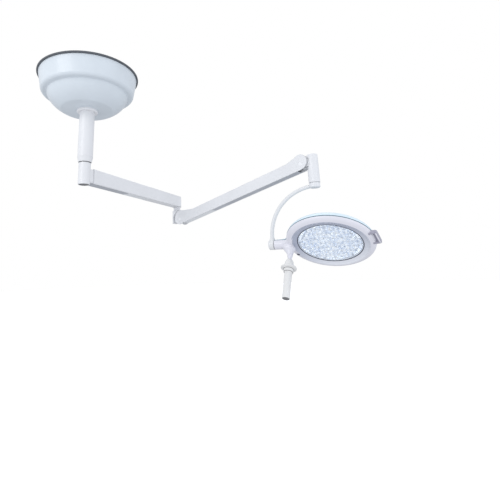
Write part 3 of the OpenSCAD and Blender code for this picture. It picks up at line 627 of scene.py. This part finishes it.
def head_part(blank, low, high, keep):
    """Strip of the head between two heights over the seam, with the faces that keep allows."""
    bm = bmesh.new()
    bm.from_mesh(blank)
    for v in bm.verts:
        v.co.z -= float(seam_height(v.co.x))
    for height, normal in ((low, (0, 0, -1)), (high, (0, 0, 1))):
        if height is not None:
            bmesh.ops.bisect_plane(bm, geom=bm.verts[:] + bm.edges[:] + bm.faces[:],
                                   plane_co=(0, 0, height), plane_no=normal, clear_outer=True)
    for v in bm.verts:
        v.co.z += float(seam_height(v.co.x))
    gone = [f for f in bm.faces if not keep(f.calc_center_median())]
    bmesh.ops.delete(bm, geom=gone, context="FACES")
    bmesh.ops.recalc_face_normals(bm, faces=bm.faces)
    verts = [tuple(v.co) for v in bm.verts]
    bm.verts.index_update()
    faces = [tuple(v.index for v in f.verts) for f in bm.faces]
    bm.free()
    return verts, faces


def thicken(obj, thickness):
    """Wall grown inwards from the surface."""
    wall = obj.modifiers.new("wall", "SOLIDIFY")
    wall.thickness = thickness * MM
    wall.offset = -1.0
    wall.use_even_offset = True


def before_collar_end(centre):
    return centre.x < COLLAR_END - 1


def outside_window(centre):
    window = math.hypot(centre.x, centre.y) < BEZEL_R - 4 and centre.z < -8
    return not window and before_collar_end(centre)


BLANK = head_blank()
SOFT_ANGLE = 50
housing = piece("head_housing_shell", head_part(BLANK, None, -SEAM_GAP, outside_window),
                HEAD, "head_plastic", "lamp_head", ["head_housing"], SOFT_ANGLE)
thicken(housing, SKIN)
cover = piece("head_cover_shell", head_part(BLANK, SEAM_GAP, None, before_collar_end),
              HEAD, "cover_blue", "lamp_head", ["head_cover"], SOFT_ANGLE)
thicken(cover, SKIN)
seal = piece("seam_seal", head_part(BLANK, -SEAM_GAP, SEAM_GAP, before_collar_end),
             HEAD, "gasket_teal", "lamp_head", ["seam_gasket"], SOFT_ANGLE)
thicken(seal, SKIN - 0.4)


# ---------- bezel, glass and lenses ----------

WINDOW_R = 121.0
PANE_Z = -9.6
PANE_T = 2.4
LENS_ANGLE = 40
bezel = rounded([(BEZEL_R - 0.4, -6.5, 0.5), (BEZEL_R - 0.2, BEZEL_Z, 1.2),
                 (BEZEL_R - 3.0, BEZEL_Z - 0.1, 1.0), (BEZEL_R - 8.0, BEZEL_Z + 3.0, 5.0),
                 (WINDOW_R + 1.6, PANE_Z - 0.6, 0.6), (WINDOW_R + 1.0, PANE_Z + 3.2, 0.3)], 1.0, 6)
piece("bezel_funnel", revolve(bezel, TURN_STEPS),
      HEAD, "bezel_plastic", "lamp_head", ["bezel_ring"])
ring = rounded([(WINDOW_R + 1.2, PANE_Z - 1.0), (WINDOW_R + 1.2, PANE_Z + 2.0),
                (WINDOW_R - 1.6, PANE_Z + 2.0), (WINDOW_R - 1.6, PANE_Z - 0.4)], 0.35, 3)
piece("window_seal", revolve(ring, TURN_STEPS), HEAD, "dark_seal", "lamp_head", material=RING_INK)
glass = ([(0, PANE_Z)]
         + curve((30, PANE_Z), (WINDOW_R - 20, PANE_Z), (WINDOW_R - 1.5, PANE_Z + 0.4), 12)
         + [(WINDOW_R - 1.5, PANE_Z + PANE_T), (0, PANE_Z + PANE_T)])
piece("window_glass", revolve(glass, TURN_STEPS, closed=False),
      HEAD, "clear_glass", "lamp_head", ["glass_pane"])

# Optics on a triangular grid, kept to a hexagon with four along each side
PITCH = 33.0
CENTRES = [(PITCH * (i + j / 2), PITCH * j * math.sin(math.pi / 3))
           for i in range(-3, 4) for j in range(-3, 4) if abs(i + j) <= 3]
BEAD_CIRCLE_R, BEAD_COUNT, BEAD_CLEARANCE = 111.5, 54, 21.0


def lens_shape():
    """One optic from its middle out: a pit over the source, a domed middle, two steps and the rim."""
    face = [(0, -4.4), (2.0, -4.5), (2.6, -6.6), (5.4, -6.9), (7.2, -5.6), (8.0, -3.4), (9.6, -5.2),
            (12.4, -6.6), (15.2, -7.2), (15.9, -6.4)]
    back = curve((15.4, -4.6), (13.5, 4.0), (6.0, 8.2), 6) + [(0, 8.2)]
    return revolve(rounded(face, 0.5, 2, closed=False) + back, 36, closed=False)


def bead_centres():
    """Small beads along the edge of the field, where no optic is near."""
    around = np.linspace(0, 2 * math.pi, BEAD_COUNT, endpoint=False)
    beads = [(BEAD_CIRCLE_R * math.cos(a), BEAD_CIRCLE_R * math.sin(a)) for a in around]
    return [b for b in beads
            if min(math.hypot(b[0] - x, b[1] - y) for x, y in CENTRES) > BEAD_CLEARANCE]


def copies(shape, centres):
    return [moved(shape, shift(x, y)) for x, y in centres]


bead_side = curve((0, -7.6), (5.6, -7.4), (6.2, -3.6), 6)
bead = revolve(bead_side + [(0, -3.6)], 20, closed=False)
piece("lens_field", merged(copies(lens_shape(), CENTRES) + copies(bead, bead_centres())),
      HEAD, "lens_optic", "lamp_head", ["lens_array"], LENS_ANGLE)
chip_side = rounded([(1.7, -5.0), (2.1, -4.4), (2.1, 8.6)], 0.3, 2, closed=False)
chip = revolve([(0, -5.0)] + chip_side + [(0, 8.6)], 16, closed=False)
piece("led_chips", merged(copies(chip, CENTRES)),
      HEAD, "board_white", "lamp_head", [], LENS_ANGLE, LED_DARK)
carrier = rounded([(0, -1.6, 0), (116, -1.6, 1.0), (118, -4.2, 1.0), (119.4, -8.6, 0.4),
                   (119.8, -8.6, 0.4), (119.8, 0.4, 0.5), (0, 0.4, 0)], 0.5, 3)
piece("lens_carrier", revolve(carrier, 128, closed=False),
      HEAD, "board_white", "lamp_head", [], LENS_ANGLE)


# ---------- handles ----------

RAIL_CENTRE = math.radians(171.5)
RAIL_IN, RAIL_OUT, RAIL_HALF = 170.0, 180.0, 35.0
RAIL_ROOT, POCKET_ROOT, RAIL_END_BAR = 146, 152, 9
RAIL_CORNER, POCKET_CORNER = 8, 5
RAIL_ANGLE = 40
HANDLE_STEPS = 72


def round_loop(x0, x1, y, radius, z):
    """Rounded rectangle between two X stations and two Y sides, as points at one height."""
    steps = 6
    out = []
    for cx, cy, start in ((x1 - radius, y - radius, 0), (x0 + radius, y - radius, 90),
                          (x0 + radius, radius - y, 180), (x1 - radius, radius - y, 270)):
        for k in range(steps + 1):
            a = math.radians(start + 90 * k / steps)
            out.append((cx + radius * math.cos(a), cy + radius * math.sin(a), z))
    return out


def loft(loops):
    """Closed body through loops of equal length, with both ends capped."""
    n = len(loops[0])
    verts = [v for loop in loops for v in loop]
    faces = [tuple(reversed(range(n))), tuple(range(len(verts) - n, len(verts)))]
    for k in range(len(loops) - 1):
        for i in range(n):
            j = (i + 1) % n
            faces.append((k * n + i, k * n + j, (k + 1) * n + j, (k + 1) * n + i))
    return verts, faces


def rail_loops():
    """From the top face, down the outer side, round the lower rim and up into the finger pocket."""
    outside = ((1.4, -0.5), (0.4, -0.8), (0.0, -1.8), (0.0, -11.6), (0.5, -12.9), (1.7, -13.5))
    pocket = ((-1.4, -13.5), (-0.4, -13.1), (0.0, -12.2), (0.0, -4.0), (0.6, -3.2), (1.6, -3.0))
    pocket_half = RAIL_HALF - RAIL_END_BAR
    return [round_loop(RAIL_ROOT + i, RAIL_OUT - i, RAIL_HALF - i, RAIL_CORNER - i, z)
            for i, z in outside] \
        + [round_loop(POCKET_ROOT + i, RAIL_IN - i, pocket_half - i, POCKET_CORNER - i, z)
           for i, z in pocket]


def rail_pad_loops():
    """Light pad along the middle of the rail's lower face."""
    return [round_loop(RAIL_IN + 2.2 + i, RAIL_OUT - 2.6 - i, RAIL_HALF - 4.5 - i, 2.4 - i, z)
            for i, z in ((0.0, -12.8), (0.0, -13.7), (0.5, -14.1))]


RAIL_TURN = Matrix.Rotation(RAIL_CENTRE, 4, "Z")
# The rail grip wears the darker painted-shade copy of the head plastic; the pad keeps the plain head plastic.
piece("rail_grip", moved(loft(rail_loops()), RAIL_TURN),
      HEAD, "head_plastic", "lamp_head", ["rail_handle"], RAIL_ANGLE, RAIL_PAINTED_SHADE)
piece("rail_pad", moved(loft(rail_pad_loops()), RAIL_TURN),
      HEAD, "head_plastic", "lamp_head", [], RAIL_ANGLE)


def holder_shape():
    """Cone that carries the sterile handle, with its root leaning towards the neck."""
    root_z, cone_end, waist, holder_end = -12.0, -57.0, (18.5, -36.0), -74.2
    lean, lean_power = 9.0, 1.3
    profile = [(0, root_z), (24.5, root_z)]
    profile += curve((25.5, -17.5), (26.2, -25.5), waist, 8)
    profile += curve(waist, (12.0, -46.0), (10.4, cone_end), 8)[1:]
    spigot = [(10.4, cone_end), (10.4, -60.5), (8.2, -62.5), (8.2, holder_end)]
    profile += rounded(spigot, 0.8, 3, closed=False)[1:]
    profile.append((0, holder_end))
    points, sides = revolve(profile, HANDLE_STEPS, closed=False)
    height = root_z - cone_end
    leaning = [(x + lean * max(0.0, (z - cone_end) / height) ** lean_power, y, z) for x, y, z in points]
    return leaning, sides


def groove_shade_ring(radius, z):
    """Thin ring in a groove, as a closed profile; used dark as painted shade in the grip's grooves."""
    deep, proud, half = 1.2, 0.35, 0.9
    return rounded([(radius - deep, z - half), (radius + proud, z - half), (radius + proud, z + half),
                    (radius - deep, z + half)], 0.4, 3)


piece("holder_cone", holder_shape(), HANDLE, "head_plastic", "lamp_head", ["handle_holder"])

# Sterile sleeve from its spigot, over the flange and the collar, along the grip and into the open end
grip = rounded([(0, -75, 0), (9.8, -75, 1.0), (11.2, -77.5, 1.5), (14.5, -83, 4), (17.2, -92, 5),
                (17.6, -103, 2), (19.5, -106.5, 2), (29.0, -109.8, 1.5), (30.8, -112.5, 1.6),
                (29.6, -115.4, 1.4), (22.0, -117.2, 1.5), (19.2, -119.5, 1.5), (18.7, -129.0, 1.6),
                (16.4, -132.0, 1.2), (14.6, -133.0, 0.8), (14.2, -150, 6), (14.6, -195, 8),
                (15.0, -239.0, 1.0), (13.4, -240.0, 0.5), (12.7, -239.4, 0.2),
                (12.7, -228.0, 0), (0, -228.0, 0)], 1.0, closed=False)
piece("grip_sleeve", revolve(grip, HANDLE_STEPS, closed=False),
      HANDLE, "grip_plastic", "focus_handle", ["sterile_grip"])
cap = rounded([(0, -228.2, 0), (12.5, -228.2, 0.3), (12.5, -239.2, 0.8), (11.0, -239.9, 1.0),
               (8.5, -239.4, 0.8), (0, -239.0, 0)], 1.0, closed=False)
piece("grip_tip", revolve(cap, HANDLE_STEPS, closed=False),
      HANDLE, "cap_dark", "focus_handle", ["grip_end_cap"])
# Painted shade: dark rings at the joints between bell, flange, collar and grip, standing in for the shade in the
# grooves.
GROOVE_SHADE_RINGS = ((19.0, -106.2), (20.2, -119.0), (17.4, -131.2))
piece("grip_groove_shade_rings", merged([revolve(groove_shade_ring(radius, z), HANDLE_STEPS) for radius, z in GROOVE_SHADE_RINGS]),
      HANDLE, "cap_dark", "focus_handle")


# ---------- camera, light and stage ----------

HEADING = math.radians(-64.19)
PITCH_UP, ROLL = math.radians(13.3), math.radians(-1.52)
CAMERA_PLACE = Vector((-1.0582, -1.0206, -0.7864))


def turned(v):
    """Vector given in the camera's heading, in the row frame."""
    return Matrix.Rotation(HEADING, 3, "Z") @ Vector(v)


forward = Vector((0, math.cos(PITCH_UP), math.sin(PITCH_UP)))
level = Vector((1, 0, 0))
down = forward.cross(level)
right = math.cos(ROLL) * level - math.sin(ROLL) * down
below = math.sin(ROLL) * level + math.cos(ROLL) * down
camera_data = bpy.data.cameras.new("camera")
camera_data.sensor_width = 36.0
camera_data.lens = 26.182
camera_data.shift_x, camera_data.shift_y = 0.1002, -0.1201
camera_data.clip_start, camera_data.clip_end = 0.05, 200.0
camera = bpy.data.objects.new("camera", camera_data)
bpy.context.scene.collection.objects.link(camera)
camera_matrix = Matrix((turned(right), turned(-below), turned(-forward))).transposed().to_4x4()
camera_matrix.translation = CAMERA_PLACE
camera.matrix_world = camera_matrix
bpy.context.scene.camera = camera
bpy.context.scene.view_settings.view_transform = "Standard"

MIDDLE = (CAD_LOW + CAD_HIGH) / 2


def area_light(name, offset, size, power, colour):
    """Square soft light at an offset from the object's middle, in the camera's heading."""
    data = bpy.data.lights.new(name, "AREA")
    data.shape = "SQUARE"
    data.size = size
    data.energy = power
    data.color = colour
    light = bpy.data.objects.new(name, data)
    bpy.context.scene.collection.objects.link(light)
    light.location = MIDDLE + turned(offset)
    light.rotation_mode = "QUATERNION"
    light.rotation_quaternion = (MIDDLE - light.location).to_track_quat("-Z", "Y")


area_light("key", offset=(-2.2, -2.4, 1.2), size=1.8, power=26, colour=(1.0, 0.99, 0.97))
area_light("fill", offset=(2.6, -1.6, 0.2), size=2.4, power=9, colour=(0.94, 0.97, 1.0))
area_light("top", offset=(0.2, 1.4, 3.0), size=2.6, power=18, colour=(1, 1, 1))

# The object is lit by a cool sky that is dimmer far off and below, and the camera sees plain white
SKY = (0.93, 0.95, 1.0, 1.0)
WHITE = (1.0, 1.0, 1.0, 1.0)
DIM_WAY = (0, 0.92, -0.39)
DIM_RANGE = {"From Min": 0.1, "From Max": 0.95, "To Min": 1.0, "To Max": 0.55}
world = bpy.data.worlds.new("studio")
bpy.context.scene.world = world
world.use_nodes = True
tree = world.node_tree
background = tree.nodes["Background"]
background.inputs["Color"].default_value = SKY
direction = tree.nodes.new("ShaderNodeTexCoord")
facing = tree.nodes.new("ShaderNodeVectorMath")
facing.operation = "DOT_PRODUCT"
facing.inputs[1].default_value = turned(DIM_WAY)
dim = tree.nodes.new("ShaderNodeMapRange")
for socket, value in DIM_RANGE.items():
    dim.inputs[socket].default_value = value
tree.links.new(direction.outputs["Generated"], facing.inputs[0])
tree.links.new(facing.outputs["Value"], dim.inputs["Value"])
tree.links.new(dim.outputs["Result"], background.inputs["Strength"])
plain = tree.nodes.new("ShaderNodeBackground")
plain.inputs["Color"].default_value = WHITE
plain.inputs["Strength"].default_value = 1.0
path = tree.nodes.new("ShaderNodeLightPath")
chooser = tree.nodes.new("ShaderNodeMixShader")
tree.links.new(path.outputs["Is Camera Ray"], chooser.inputs[0])
tree.links.new(background.outputs[0], chooser.inputs[1])
tree.links.new(plain.outputs[0], chooser.inputs[2])
tree.links.new(chooser.outputs[0], tree.nodes["World Output"].inputs["Surface"])

# Pale floor far below, seen only by the camera
FLOOR_Z = -2.3
FLOOR_RINGS = [(0, 0), (4000, 0), (12000, 0), (30000, 0)]
floor_mesh = bpy.data.meshes.new("floor")
floor_verts, floor_faces = revolve(FLOOR_RINGS, 64, closed=False)
floor_centre = Vector((MIDDLE.x, MIDDLE.y, FLOOR_Z))
floor_mesh.from_pydata([Vector(v) * MM + floor_centre for v in floor_verts], [], floor_faces)
floor = bpy.data.objects.new("floor", floor_mesh)
bpy.context.scene.collection.objects.link(floor)
pale = Tree("floor_pale")
pale.set(Roughness=0.9, Emission_Color=WHITE, Emission_Strength=0.55)
drift = pale.span(pale.noise(1.5), 0.0, 1.0)
pale.drive(Base_Color=pale.mix(drift, (0.93, 0.93, 0.93), (0.96, 0.96, 0.96)))
floor_mesh.materials.append(pale.material)
floor.visible_diffuse = False
floor.visible_glossy = False
